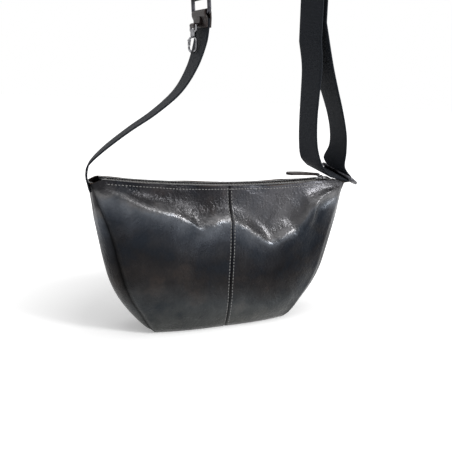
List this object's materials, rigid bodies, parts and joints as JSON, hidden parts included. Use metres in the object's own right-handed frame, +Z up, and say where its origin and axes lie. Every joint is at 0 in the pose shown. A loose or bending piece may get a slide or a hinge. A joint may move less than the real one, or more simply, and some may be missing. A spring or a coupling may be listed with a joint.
{
  "type": "crossbody bag",
  "caption": "Soft half-moon crossbody bag with a zip mouth, a webbing strap over metal rings, a sliding adjuster and a small snap hook.",
  "frame": {"origin": "inside of the strap's top at its middle, where a peg or a shoulder carries the bag", "axes": "+Z up, +X to the right along the bag as its front is seen, -Y out of the front panel"},
  "size_m": [0.3138, 0.064, 0.6461],
  "materials": {
    "leather": "semi-gloss black, soft grain",
    "trim_leather": "dark brown, raw edges",
    "lining_cloth": "plain woven cloth",
    "zip_tape": "woven tape",
    "zip_metal": "dark metal",
    "webbing": "dense blue-black webbing",
    "gunmetal": "dark gunmetal",
    "bright_metal": "polished nickel"
  },
  "bodies": {
    "bag": {"front_panel_left": "leather", "front_panel_right": "leather", "back_panel_left": "leather", "back_panel_right": "leather", "gusset": "leather", "lining_front": "lining_cloth", "lining_back": "lining_cloth", "lining_gusset": "lining_cloth", "rim_band_front": "leather", "rim_band_back": "leather", "zip_tape_front": "zip_tape", "zip_tape_back": "zip_tape", "zip_teeth_front": "zip_metal", "zip_teeth_back": "zip_metal", "zip_bottom_stop": "zip_metal", "zip_top_stops": "zip_metal", "corner_tab": "leather", "strap_webbing": "webbing", "return_strand": "webbing", "lower_webbing": "webbing", "end_tab": "trim_leather", "hook_strap": "trim_leather"},
    "slider": {"zip_slider": "bright_metal"},
    "pull_ring": {"zip_pull_ring": "bright_metal"},
    "tongue": {"zip_pull_tongue": "trim_leather"},
    "corner_ring": {"corner_ring": "gunmetal"},
    "adjuster": {"adjuster_frame": "gunmetal", "adjuster_loop": "webbing"},
    "end_ring": {"end_ring": "gunmetal"},
    "eye": {"hook_eye": "bright_metal"},
    "hook": {"hook_body": "bright_metal", "hook_gate_pin": "bright_metal"},
    "gate": {"hook_gate": "bright_metal"}
  },
  "joints": [
    {"name": "zip_slider_travel", "type": "hinge", "parent": "bag", "child": "slider", "pos_m": [0.009, 0, 0.94417], "axis": [0, 1, 0], "range_deg": [0, 8.6]},
    {"name": "zip_ring_pivot", "type": "hinge", "parent": "slider", "child": "pull_ring", "pos_m": [0.10972, 0, -0.478], "axis": [0, 1, 0], "range_deg": [-5, 14]},
    {"name": "zip_pull_pivot", "type": "hinge", "parent": "pull_ring", "child": "tongue", "pos_m": [0.10298, 0, -0.47471], "axis": [0, 1, 0], "range_deg": [-5, 42]},
    {"name": "corner_ring_pivot", "type": "hinge", "parent": "bag", "child": "corner_ring", "pos_m": [0.1388, -0.0016, -0.4766], "axis": [-0.3592, 0.889, 0.284], "range_deg": [0, 2.5]},
    {"name": "end_ring_pivot", "type": "hinge", "parent": "bag", "child": "end_ring", "pos_m": [-0.05106, 0, -0.30949], "axis": [0, 1, 0], "range_deg": [0, 2.5]},
    {"name": "adjuster_slide", "type": "slide", "parent": "bag", "child": "adjuster", "axis": [-0.0587, -0.0083, 0.9982], "range_m": [-0.06, 0.1], "deforming": ["return_strand"]},
    {"name": "hook_hang", "type": "hinge", "parent": "bag", "child": "eye", "pos_m": [-0.05867, 0, -0.32169], "axis": [0, 1, 0], "range_deg": [-0.5, 70]},
    {"name": "hook_swivel", "type": "hinge", "parent": "eye", "child": "hook", "pos_m": [-0.05867, 0, -0.32709], "axis": [0, 0, 1], "continuous": true},
    {"name": "hook_gate_swing", "type": "hinge", "parent": "hook", "child": "gate", "pos_m": [-0.06256, 0, -0.33635], "axis": [0, -1, 0], "range_deg": [0, 32], "stiffness_Nm_per_rad": 0.004, "springref_deg": -11.46}
  ]
}
